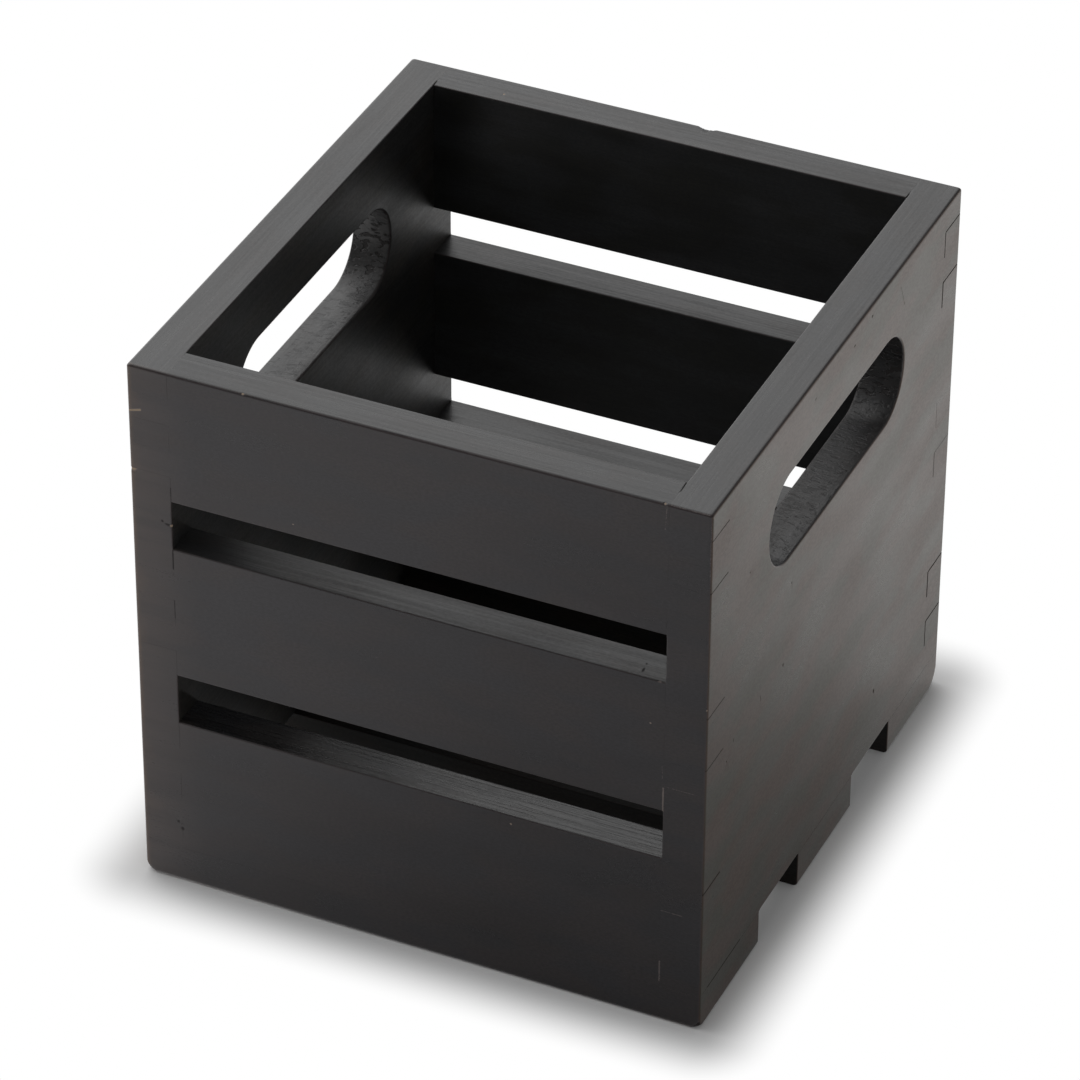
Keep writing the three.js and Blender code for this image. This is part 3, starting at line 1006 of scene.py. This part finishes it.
class CrateStage(bpy.types.PropertyGroup):
    """Floor, light and camera."""

    floor: colour("Floor", (0.9, 0.9, 0.9), "Pale floor")
    shadow_reach: length("Shadow reach", 22, "How far from the crate the floor shows its shadow")
    dusk_middle: position(
        "Dusk middle", (3.1 * SIDE * MM, -2.45 * END * MM, 0.0),
        "Middle of the part of the floor that the varnish mirrors dark",
    )
    dusk_from: length("Dusk from", 216, "How far from there the mirrored floor begins to whiten")
    dusk_to: length("Dusk to", 399, "How far from there the mirrored floor is white")
    dusk: amount("Dusk", 0.05, "White mirrored in that middle")
    surround: amount("Surround", 0.29, "Light from all round")
    lamp: amount("Lamp", 1.72, "Strength of the large soft lamp")
    lamp_from: position(
        "Lamp from", (-0.7094, 0.4096, 0.5736),
        "Where the large soft lamp is, behind the crate on the left", subtype="DIRECTION",
    )
    lens: bpy.props.FloatProperty(
        name="Lens", default=197.12, min=1.0, subtype="DISTANCE_CAMERA",
        description="Focal length in millimetres",
    )
    eye: position("Eye", (0.52311, -1.17194, 0.97443), "Where the camera stands")
    azimuth: angle("Azimuth", 24.1927, "How far round to the right the camera stands")
    elevation: angle("Elevation", 34.9497, "How steeply the camera looks down")
    roll: angle("Roll", 0.3836, "Tilt of the picture")


# Joints

def slat_fingers(level, count):
    """Height ranges of a slat's own fingers, from the bottom up. The side panel has the outermost
    ones."""
    low, high = SLAT_SPANS[level]
    height = (high - low) / count
    return sorted((high - (k + 1) * height, high - k * height) for k in range(1, count, 2))


def all_pockets(count):
    """Height ranges of the side panel's pockets, which take the slats' fingers, from below."""
    return sorted(span for level in SLAT_SPANS for span in slat_fingers(level, count))


def joint_corners(root, tip, first, last, outer):
    """Corners of a finger or a pocket, of which one starts an edge on the crate's outside."""
    corners = ((root, first), (tip, first), (tip, last), (root, last))
    return [(u, v, OUTER_ROWS if k == outer else SEAM_ROWS) for k, (u, v) in enumerate(corners)]


def board_edges():
    """Where the bottom boards begin and end between the crate's front and back."""
    return sorted(y for span in BOARD_SPANS.values() for y in span)[1:-1]


# How open the joint lines on the side faces are above and beside each finger, at the back and at
# the front from the top down, as shares of an open line's width, and where a joint isn't listed
OPEN_LINES = {
    1: ((0.3, 0.32), (0.35, 0.4), (0.0, 0.12), (0.14, 0.2), (0.38, 0.4), (0.32, 0.36)),
    -1: ((0.26, 0.0), (0.28, 0.0), (0.32, 0.0), (0.36, 0.0), (0.42, 0.0), (0.0, 0.0)),
}
OPEN_ELSEWHERE = (0.2, 0.2)

# How far the rim's joint lines are open from the inside, for each side and end, how wide they are
# there, and how much wider or narrower in places
RIM_LINES = {(1, -1): 3.6, (1, 1): 1.5, (-1, 1): 2.5, (-1, -1): 0.0}
RIM_LINE_RADIUS, RIM_LINE_RAGGED = 0.24, 0.12

# Marks of wear: (centre, reach, depth, way in, pale or dark)
MARKED_SIDE, MARKED_FRONT = 80.0, -83.75


def side_nick(y, z, along, up, depth, tone):
    """A mark in the right side's face."""
    return (MARKED_SIDE, y, z), (0.6, along, up), depth, (1, 0, 0), tone


def front_nick(x, z, reach, depth, tone):
    """A mark in the front's face."""
    return (x, MARKED_FRONT, z), reach, depth, (0, -1, 0), tone


def joint_line(x, top, bottom, half_width, tone):
    """A thin upright line along a joint in the front's face."""
    return (x, MARKED_FRONT, top), (x, MARKED_FRONT, bottom), half_width, tone


PANEL_MARKS = {
    "right": (
        side_nick(33.97, 29.8, 0.45, 0.8, 0.2, -1.0),
        side_nick(-33.55, 83.3, 0.35, 0.8, 0.15, -1.0),
        side_nick(-58.3, 128.1, 0.3, 0.5, 0.08, -0.8),
        side_nick(-80.7, 133.0, 0.25, 0.5, 0.05, -0.6),
        side_nick(-66.0, 81.4, 0.25, 1.0, 0.05, -0.6),
        side_nick(-48.5, 82.8, 0.25, 1.5, 0.08, -0.8),
        side_nick(-29.7, 106.6, 0.3, 0.5, 0.08, -0.8),
        side_nick(-70.3, 77.6, 0.4, 0.5, 0.08, -0.8),
        side_nick(20.4, 157.7, 0.7, 0.45, 0.06, -1.0),
        side_nick(8.6, 155.6, 1.1, 0.5, 0.04, -0.5),
        side_nick(-17.5, 155.2, 1.2, 0.6, 0.02, -0.35),
        ((79.8, -83.6, 102.3), (0.4, 0.4, 0.35), 0.08, (0.7, -0.7, 0), 0.8),
    ),
    "left": (
        ((-79.3, -83.6, 129.8), (1.6, 0.9, 1.5), 0.35, (-0.6, -0.8, 0), 1.0),
        ((-68.6, -83.6, 114.6), (0.8, 0.6, 0.55), 0.25, (0.5, -0.8, 0), 1.0),
        front_nick(-69.7, 114.9, (1.1, 0.5, 0.5), 0.05, -0.9),
        front_nick(-71.2, 115.6, (0.5, 0.5, 0.5), 0.05, -1.0),
        front_nick(-68.6, 17.6, (0.5, 0.5, 0.7), 0.1, -0.9),
    ),
}
SLAT_MARKS = {
    "front_top": (
        ((-47.3, -83.5, 160.9), (0.6, 0.5, 0.5), 0.1, (0, -0.7, 0.7), 0.9),
        ((67.3, -83.3, 160.8), (0.6, 0.6, 0.5), 0.15, (0, -0.5, 0.8), 0.7),
        front_nick(-33.9, 125.4, (0.4, 0.4, 0.3), 0.05, 0.9),
    ),
    "front_middle": (
        ((61.3, -80.9, 107.5), (0.55, 1.7, 0.4), 0.0, (0, 0, 1), -0.5),
        ((61.0, -78.2, 107.5), (0.45, 0.9, 0.4), 0.0, (0, 0, 1), -0.4),
        front_nick(64.7, 94.0, (0.5, 0.4, 0.45), 0.0, 0.6),
        ((67.0, -83.5, 107.3), (1.2, 0.5, 0.4), 0.05, (0, -0.7, 0.7), 0.5),
    ),
    "front_bottom": (
        front_nick(26.6, 49.9, (0.45, 0.4, 0.4), 0.05, 0.9),
        front_nick(-69.7, 19.7, (0.5, 0.5, 0.5), 0.1, -1.0),
        front_nick(-68.4, 17.6, (0.5, 0.5, 0.7), 0.1, -0.9),
    ),
    "back_top": (
        ((7.4, 83.9, 161.1), (2.9, 1.5, 1.0), 0.75, (0, 0.6, 0.8), -0.3),
        ((-49.2, 76.4, 161.0), (0.5, 0.6, 0.4), 0.05, (0, 0, 1), 0.8),
    ),
}

# How far a mark's rows go through the thickness, in shares of its reach, and those of a line's
# ends, in millimetres
MARK_ROWS = (-1.05, -0.7, -0.35, 0, 0.35, 0.7, 1.05)
LINE_END_ROWS = (-0.35, 0, 0.35)

# Thin lines along the joints: (start, end, half width, pale or dark). A line between two pieces is
# on both.
LEFT_JOINT_TOP = joint_line(-68.5, 126.5, 122.2, 0.25, -0.5)
LEFT_JOINT_UPPER = joint_line(-68.5, 107.2, 101.5, 0.28, -0.7)
LEFT_JOINT_MIDDLE = joint_line(-68.5, 91.5, 86.0, 0.2, -0.55)
RIGHT_JOINT_UPPER = ((68.0, -83.75, 83.0), (68.4, -83.75, 76.0), 0.24, 0.27)
RIGHT_JOINT_MIDDLE = joint_line(68.5, 74.8, 67.6, 0.32, 0.55)
RIGHT_JOINT_BOTTOM = joint_line(68.5, 19.2, 12.8, 0.32, 0.45)
# A pale line down the front's right upright edge: worn stain with a painted highlight in it
UPRIGHT_EDGE = ((79.7, -83.6, 159.0), (79.7, -83.6, 141.0), 0.3, 0.26)
BOARD_JOINT = ((80.0, -79.0, 11.0), (80.0, -57.5, 11.0), 0.35, -0.5)
PANEL_LINES = {
    "right": (
        ((68.6, -83.75, 75.5), (77.5, -83.75, 75.5), 0.28, 0.36),
        ((68.6, -83.75, 35.9), (74.4, -83.75, 35.9), 0.3, 0.45),
        RIGHT_JOINT_MIDDLE, RIGHT_JOINT_UPPER, RIGHT_JOINT_BOTTOM, UPRIGHT_EDGE,
        # A pale line along the rim's front edge at the right: a painted highlight
        ((69.0, -83.5, 160.9), (79.2, -83.5, 160.9), 0.3, 0.36),
        BOARD_JOINT,
        ((80.0, 40.7, 154.6), (80.0, 43.9, 147.5), 0.5, -0.3),
    ),
    "left": (
        LEFT_JOINT_TOP, LEFT_JOINT_UPPER, LEFT_JOINT_MIDDLE,
        ((-79.5, -83.75, 91.5), (-69.0, -83.75, 91.5), 0.2, 0.26),
    ),
}
BOARD_LINES = {
    # The pale line along the front's bottom edge at the right is painted bounce light from the
    # floor
    "front": (BOARD_JOINT, ((66.5, -83.6, 0.6), (77.5, -83.6, 0.6), 0.4, 0.5)),
    "middle": (((80.0, -12.0, 11.0), (80.0, 6.0, 11.0), 0.25, -0.4),),
}
SLAT_LINES = {
    "front_top": (
        ((67.9, -83.75, 160.6), (67.6, -83.75, 153.5), 0.24, 0.34),
        LEFT_JOINT_TOP,
        # A pale line along the rim's front edge at the right: a painted highlight
        ((56.0, -83.6, 160.9), (68.0, -83.6, 160.9), 0.22, 0.4),
        ((-79.9, -83.6, 147.1), (-76.4, -83.75, 148.1), 0.4, 1.0),
        UPRIGHT_EDGE,
    ),
    "front_middle": (
        RIGHT_JOINT_MIDDLE, RIGHT_JOINT_UPPER, LEFT_JOINT_UPPER, LEFT_JOINT_MIDDLE,
    ),
    "front_bottom": (RIGHT_JOINT_BOTTOM,),
}

# How far from a line or a mark a face is finely divided, and how finely, and how near each other
# the places along a line are
LINE_REACH, LINE_STEP, LINE_END_REACH, LINE_SPACING = 0.55, 0.15, 0.6, 0.7
MARK_MARGIN, MARK_STEP = 0.2, 0.25

# Painted light: the front is lightened from this far to the left out to its left end, and a warm
# glow of painted light shows this far in from its left edge
LEFT_LIGHT_FROM = 62.0
EDGE_GLOW_REACH = 2.0

# Slats whose top edge has less varnish, or more below 0
DULL_SLATS = {"front_middle": 1.0, "front_bottom": -0.35, "back_middle": 0.5, "back_bottom": 0.5}

# Radius of the boards' top edges in the notches and of the panels' edges above the boards
BOARD_TOP_EDGE = 0.2
PANEL_FOOT_EDGE = 0.06

# Room round a brad's head, and how far over the head its pocket ends
BRAD_ROOM, BRAD_COVER = 0.25, 0.55


# Pieces

def spots_along(line, i, j):
    """Places where a face is finely divided for a line painted on it, in the plane of two axes."""
    start, end = np.array(line[0], float), np.array(line[1], float)
    count = max(1, math.ceil(np.linalg.norm(end - start) / LINE_SPACING))
    places = [start + (end - start) * k / count for k in range(count + 1)]
    return [(p[i], p[j], LINE_REACH, LINE_STEP) for p in places]


def mark_levels(marks, axis):
    """Levels through a piece's thickness at which its marks need rows."""
    return [centre[axis] + reach[axis] * k for centre, reach, *_ in marks for k in MARK_ROWS]


def open_joints(end, sizes):
    """Width of the open line above and beside each finger at one end, from the bottom up."""
    lines = list(reversed(OPEN_LINES[end]))
    pockets = all_pockets(sizes.fingers)
    if len(lines) != len(pockets):
        lines = [OPEN_ELSEWHERE] * len(pockets)
    return [tuple(share * sizes.open_line / MM for share in line) for line in lines]


def within_gaps(values, gaps, slope, start):
    """How far inside one of the gaps each value is, up to 1."""
    share = np.zeros(len(values))
    for low, high in gaps:
        inner = np.minimum(values - low, high - values) * slope + start
        share = np.maximum(share, np.clip(inner, 0, 1))
    return share


def ease_rim_lines(piece, wall, side):
    """The joint lines on the rim, open for a little way from the inside."""
    for end in (-1, 1):
        depth = end * piece.co[:, Y] - SLAT_INSIDE
        ragged = [noise.noise(Vector((y * 0.9, side * 5.0, end))) for y in piece.co[:, Y]]
        radius = RIM_LINE_RADIUS + RIM_LINE_RAGGED * np.array(ragged)
        radius = np.where(depth < RIM_LINES[side, end], radius, TIGHT)
        piece.ease(wall, (Z, RIM, 1), radius, depth > -0.001, seam=True)


def finish_edges(piece, sizes, edge):
    """Rounds the crate's upright edges, and its outer edge at the rim or the ground, and finds
    where painted light lightens the front's left end and where painted warm edge light shows on it."""
    corner = sizes.corner_radius / MM
    for sx in (-1, 1):
        for sy in (-1, 1):
            piece.ease((X, sx * SIDE, sx), (Y, sy * END, sy), corner)
    if edge == "rim":
        piece.ease_outside(RIM, 1, sizes.rim_radius / MM, corner)
    elif edge == "ground":
        piece.ease_outside(0.0, -1, sizes.foot_radius / MM, corner)
        piece.knock(sizes.front_knock / MM, sizes.back_knock / MM)
    x, y, z = piece.co.T
    on_front = y < 1.0 - END
    # Painted light, lightening the front towards its left end
    piece.thin = on_front * np.clip((-x - LEFT_LIGHT_FROM) / (SIDE - LEFT_LIGHT_FROM), 0, 1)
    # Painted warm edge light along the front's left edge and along its bottom at the left
    beside = np.clip((-x - SIDE + EDGE_GLOW_REACH) / EDGE_GLOW_REACH, 0, 1)
    below = np.clip(1.0 - z, 0, 1) * np.clip(-x / 30.0 - 0.8, 0, 1)
    piece.faded = on_front * np.maximum(beside, below) ** 2


def side_panel(name, sizes):
    """A side panel with the pockets of its box joints along both ends, and its hand hole."""
    side = 1 if name == "right" else -1
    pockets = all_pockets(sizes.fingers)
    open_lines = {end: open_joints(end, sizes) for end in (-1, 1)}
    edges = board_edges()
    outline = [(y, BOARD_TOP, SEAM_ROWS) for y in (-END, *edges)]
    outline.append((END, BOARD_TOP, OUTER_ROWS))
    for (low, high), (above, beside) in zip(pockets, open_lines[1]):
        inner = SLAT_INSIDE - TIGHT - beside / 2
        outline += joint_corners(END, inner, low - TIGHT, high + TIGHT + above / 2, 3)
    outline += [(END, RIM, OUTER_ROWS), (-END, RIM, OUTER_ROWS)]
    for low, high in reversed(pockets):
        outline += joint_corners(-END, TIGHT - SLAT_INSIDE, high + TIGHT, low - TIGHT, 3)
    marks, lines = PANEL_MARKS[name], PANEL_LINES[name]
    tips = [tip for line in lines for tip in line[:2]]
    spots = [(c[Y], c[Z], max(r[Y], r[Z]) + MARK_MARGIN, MARK_STEP) for c, r, *_ in marks]
    spots += [(y, z, LINE_END_REACH, LINE_STEP) for _, y, z in tips if abs(y) > END - 0.5]
    for line in lines:
        if line[0][Y] != line[1][Y]:
            spots += spots_along(line, Y, Z)
    extra = mark_levels(marks, X) + [x + k for x, _, _ in tips for k in LINE_END_ROWS]
    radius = sizes.hole_height / MM / 2
    reach, level = sizes.hole_length / MM / 2 - radius, RIM - sizes.hole_drop / MM
    centres = (-reach, level), (reach, level)
    piece = Plank(
        X, sorted((side * PANEL_INSIDE, side * SIDE)), straight_loop(outline, PANEL_STEP, spots),
        (SLOT_ROWS, OUTER_ROWS)[::side], PANEL_GRID,
        [round_ended_loop(*centres, radius, HOLE_ROWS, HOLE_STEP)], spots=spots, extra=extra,
    )
    x, y, z = piece.co.T
    outer, inner = (X, side * SIDE, side), (X, side * PANEL_INSIDE, -side)
    slots = [(SLAT_SPANS["bottom"][1], SLAT_SPANS["middle"][0])]
    slots.append((SLAT_SPANS["middle"][1], SLAT_SPANS["top"][0]))
    for end in (-1, 1):
        edge = (Y, end * END, end)
        for (low, high), (above, beside) in zip(pockets, open_lines[end]):
            opening = end > 0
            ceiling = high + TIGHT + opening * above / 2
            back = SLAT_INSIDE - TIGHT - opening * beside / 2
            in_joint = end * y > back - NEAR
            inner_wall, widths = (Y, end * back, end), (above, beside)
            piece.ease_joint(outer, edge, inner_wall, low - TIGHT, ceiling, -1, widths, in_joint)
        at_slot = within_gaps(z, slots, 1, 0.1)
        piece.ease(inner, edge, TIGHT + at_slot * (sizes.slot_radius / MM - TIGHT))
    at_notch = within_gaps(y, zip(edges[::2], edges[1::2]), 2, 0)
    foot = PANEL_FOOT_EDGE + at_notch * (sizes.slot_radius / MM - PANEL_FOOT_EDGE)
    for face in (outer, inner):
        piece.ease(face, (Z, BOARD_TOP, -1), foot)
        piece.ease_hole((Y, Z), *centres, radius, face, sizes.hole_radius / MM)
    # The end grain in the hole's round ends is torn, and the router's lighter marks fade out
    # towards the outer face, which paints shade on the wall there
    piece.torn = piece.sawn * np.clip((np.abs(y) - reach) / radius * 2.2 - 0.6, 0.22, 1)
    depth = (side * x - PANEL_INSIDE) / (SIDE - PANEL_INSIDE)
    piece.sawn *= np.clip(1.1 - 1.05 * depth, 0.1, 1)
    piece.ease(inner, (Z, RIM, 1), sizes.inner_rim_radius / MM, np.abs(y) < SLAT_INSIDE)
    ease_rim_lines(piece, inner, side)
    finish_edges(piece, sizes, "rim")
    piece.weather(marks, lines, sizes.sanding / MM)
    return piece


def wall_slat(wall, level, sizes):
    """A slat of the front or back wall with the fingers of its box joints."""
    out = -1 if wall == "front" else 1
    low, high = SLAT_SPANS[level]
    shoulder = PANEL_INSIDE - 2 * TIGHT
    fingers = slat_fingers(level, sizes.fingers)
    first = all_pockets(sizes.fingers).index(fingers[0])
    open_lines = open_joints(out, sizes)[first:first + len(fingers)]
    outline = [(-shoulder, low, SEAM_ROWS if level == "bottom" else SLOT_ROWS)]
    outline.append((shoulder, low, SEAM_ROWS))
    for a, b in fingers:
        outline += joint_corners(shoulder, SIDE, a, b, 1)
    outline.append((shoulder, high, OUTER_ROWS if level == "top" else SLOT_ROWS))
    outline.append((-shoulder, high, SEAM_ROWS))
    for a, b in reversed(fingers):
        outline += joint_corners(-shoulder, -SIDE, b, a, 1)
    marks = SLAT_MARKS.get(f"{wall}_{level}", ())
    lines = SLAT_LINES.get(f"{wall}_{level}", ())
    spots = [(c[X], c[Z], max(r[X], r[Z]) + MARK_MARGIN, MARK_STEP) for c, r, *_ in marks]
    for line in lines:
        spots += spots_along(line, X, Z)
    piece = Plank(
        Y, sorted((out * SLAT_INSIDE, out * END)), straight_loop(outline, SLAT_STEP, spots),
        (SLOT_ROWS, OUTER_ROWS)[::out], SLAT_GRID, spots=spots, extra=mark_levels(marks, Y),
    )
    x, _, z = piece.co.T
    face, back = (Y, out * END, out), (Y, out * SLAT_INSIDE, -out)
    for side in (-1, 1):
        in_joint = side * x > shoulder - NEAR
        tip = (X, side * SIDE, side)
        between = np.ones(len(x), bool)
        for (a, b), widths in zip(fingers, open_lines):
            between &= (z < a + NEAR) | (z > b - NEAR)
            piece.ease_joint(tip, face, back, a, b, 1, widths, in_joint)
        piece.ease(face, (X, side * shoulder, side), TIGHT, between, seam=True)
    slot_edges = [] if level == "bottom" else [(Z, low, -1)]
    slot_edges += [] if level == "top" else [(Z, high, 1)]
    for edge in slot_edges:
        for plane in (face, back):
            piece.ease(plane, edge, sizes.slot_radius / MM)
    if level == "bottom":
        piece.ease(face, (Z, low, -1), TIGHT, seam=True)
    if level == "top":
        piece.ease(back, (Z, high, 1), sizes.inner_rim_radius / MM)
        for side in (-1, 1):
            ease_rim_lines(piece, (X, side * shoulder, side), side)
    finish_edges(piece, sizes, "rim" if level == "top" else "")
    piece.weather(marks, lines, sizes.sanding / MM)
    return piece


def bottom_board(place, sizes):
    """A bottom board with the pockets of its brads' heads in the underside."""
    front, back = BOARD_SPANS[place]
    rows = {y: FOOT_ROWS if abs(y) > END - NEAR else HOLE_ROWS for y in (front, back)}
    outline = [(-SIDE, front, rows[front]), (SIDE, front, FOOT_ROWS)]
    outline += [(SIDE, back, rows[back]), (-SIDE, back, FOOT_ROWS)]
    pockets, depth = [], 0.0
    for brad in BRADS:
        if brad.startswith(place):
            low, high = solid_box(brad)
            middle, radius = (low + high)[:2] / 2, (high - low)[X] / 2 + BRAD_ROOM
            depth = max(depth, low[Z] + BRAD_COVER)
            pockets.append(round_ended_loop(middle, middle, radius, BRAD_ROWS, BRAD_STEP))
    piece = Plank(
        Z, (0.0, BOARD_TOP), straight_loop(outline, SLAT_STEP), (FOOT_ROWS, SLOT_ROWS), SLAT_GRID,
        pockets=pockets, pocket_depth=depth,
    )
    for y, out in ((front, -1), (back, 1)):
        outside = abs(y) > END - NEAR
        if not outside:
            piece.ease((Y, y, out), (Z, 0.0, -1), sizes.notch_radius / MM)
            for side in (-1, 1):
                piece.ease((Y, y, out), (X, side * SIDE, side), sizes.slot_radius / MM)
        top_edge = TIGHT if outside else BOARD_TOP_EDGE
        piece.ease((Y, y, out), (Z, BOARD_TOP, 1), top_edge, seam=outside)
    for side in (-1, 1):
        piece.ease((X, side * SIDE, side), (Z, BOARD_TOP, 1), TIGHT, seam=True)
    finish_edges(piece, sizes, "ground")
    piece.weather((), BOARD_LINES.get(place, ()), sizes.sanding / MM)
    return piece


# Steps, each an operator

def sizes_and_woods(context):
    """The crate's sizes, and the finishes of its wood in their order."""
    return context.scene.crate_sizes, stained_woods(context.scene.crate_colours)


class CRATE_OT_side_panels(bpy.types.Operator):
    """Make the two side panels with their hand holes"""

    bl_idname = "crate.side_panels"
    bl_label = "Side Panels"

    def execute(self, context):
        sizes, woods = sizes_and_woods(context)
        for name, stain in (("left", LEFT_STAIN), ("right", RIGHT_STAIN)):
            panel = side_panel(name, sizes)
            piece = panel.object(f"panel_{name}", woods, PANEL_EDGE, PANEL_BACK, stain)
            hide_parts(f"{name}_side_panel")
        return {"FINISHED"}


class CRATE_OT_wall_slats(bpy.types.Operator):
    """Make the three front slats and the three back slats"""

    bl_idname = "crate.wall_slats"
    bl_label = "Wall Slats"

    def execute(self, context):
        sizes, woods = sizes_and_woods(context)
        for wall, stain in (("front", FRONT_STAIN), ("back", BACK_STAIN)):
            for level in LEVELS:
                shift = stain + SLAT_SPANS[level][0] / STAIN_RISE
                piece = wall_slat(wall, level, sizes).object(
                    f"slat_{wall}_{level}", woods, SLAT_EDGE, SLAT_BACK, shift,
                    dull=DULL_SLATS.get(f"{wall}_{level}", 0.0),
                )
                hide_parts(f"{wall}_{level}_slat")
        return {"FINISHED"}


class CRATE_OT_bottom_boards(bpy.types.Operator):
    """Make the three boards that run from side to side underneath"""

    bl_idname = "crate.bottom_boards"
    bl_label = "Bottom Boards"

    def execute(self, context):
        sizes, woods = sizes_and_woods(context)
        for number, place in enumerate(PLACES):
            piece = bottom_board(place, sizes).object(
                f"board_{place}", woods, BOARD_FINISH, BOARD_FINISH, BOARD_STAIN + number,
            )
            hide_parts(f"{place}_bottom_board")
        return {"FINISHED"}


class CRATE_OT_brads(bpy.types.Operator):
    """Give the brads under the boards their steel"""

    bl_idname = "crate.brads"
    bl_label = "Brads"

    def execute(self, context):
        steel = brad_steel(context.scene.crate_colours)
        for name in BRADS:
            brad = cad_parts[name]
            brad.data.materials.clear()
            brad.data.materials.append(steel)
        return {"FINISHED"}


class CRATE_OT_stage(bpy.types.Operator):
    """Set up the floor, the light and the camera"""

    bl_idname = "crate.stage"
    bl_label = "Stage"

    def execute(self, context):
        scene, stage = context.scene, context.scene.crate_stage
        scene.view_settings.view_transform = "Standard"
        mesh = bpy.data.meshes.new("floor")
        made = bmesh.new()
        bmesh.ops.create_grid(made, x_segments=8, y_segments=8, size=FLOOR_REACH)
        made.to_mesh(mesh)
        made.free()
        floor = bpy.data.objects.new("floor", mesh)
        scene.collection.objects.link(floor)
        mesh.materials.append(pale_floor(stage))

        scene.world = soft_surround(stage)

        camera = bpy.data.cameras.new("camera")
        camera.sensor_width, camera.lens = 36.0, stage.lens
        camera.clip_start, camera.clip_end = 0.05, 20.0
        eye = bpy.data.objects.new("camera", camera)
        a, e = stage.azimuth, stage.elevation
        ahead = Vector((-math.sin(a) * math.cos(e), math.cos(a) * math.cos(e), -math.sin(e)))
        level = ahead.cross(Vector((0, 0, 1))).normalized()
        right = math.cos(stage.roll) * level + math.sin(stage.roll) * level.cross(ahead)
        up = right.cross(ahead)
        turn = Matrix((right, up, -ahead)).transposed().to_4x4()
        eye.matrix_world = Matrix.Translation(stage.eye) @ turn
        scene.collection.objects.link(eye)
        scene.camera = eye
        return {"FINISHED"}


STEPS = (
    CRATE_OT_stage,
    CRATE_OT_side_panels,
    CRATE_OT_wall_slats,
    CRATE_OT_bottom_boards,
    CRATE_OT_brads,
)
SETTINGS = {
    "crate_sizes": CrateSizes,
    "crate_colours": CrateColours,
    "crate_stage": CrateStage,
}


class CRATE_PT_sidebar(bpy.types.Panel):
    """The crate's steps and settings"""

    bl_idname = "CRATE_PT_sidebar"
    bl_label = "Display Crate"
    bl_space_type = "VIEW_3D"
    bl_region_type = "UI"
    bl_category = "Crate"

    def draw(self, context):
        for step in STEPS:
            self.layout.operator(step.bl_idname)
        for name, settings in SETTINGS.items():
            box = self.layout.box()
            for key in settings.__annotations__:
                box.prop(getattr(context.scene, name), key)


CLASSES = (*SETTINGS.values(), *STEPS, CRATE_PT_sidebar)


def register():
    for kind in CLASSES:
        bpy.utils.register_class(kind)
    for name, settings in SETTINGS.items():
        setattr(bpy.types.Scene, name, bpy.props.PointerProperty(type=settings))


def unregister():
    for name in SETTINGS:
        delattr(bpy.types.Scene, name)
    for kind in reversed(CLASSES):
        bpy.utils.unregister_class(kind)


def main():
    register()
    bpy.ops.crate.stage()
    bpy.ops.crate.side_panels()
    bpy.ops.crate.wall_slats()
    bpy.ops.crate.bottom_boards()
    bpy.ops.crate.brads()


if __name__ == "__main__":
    main()
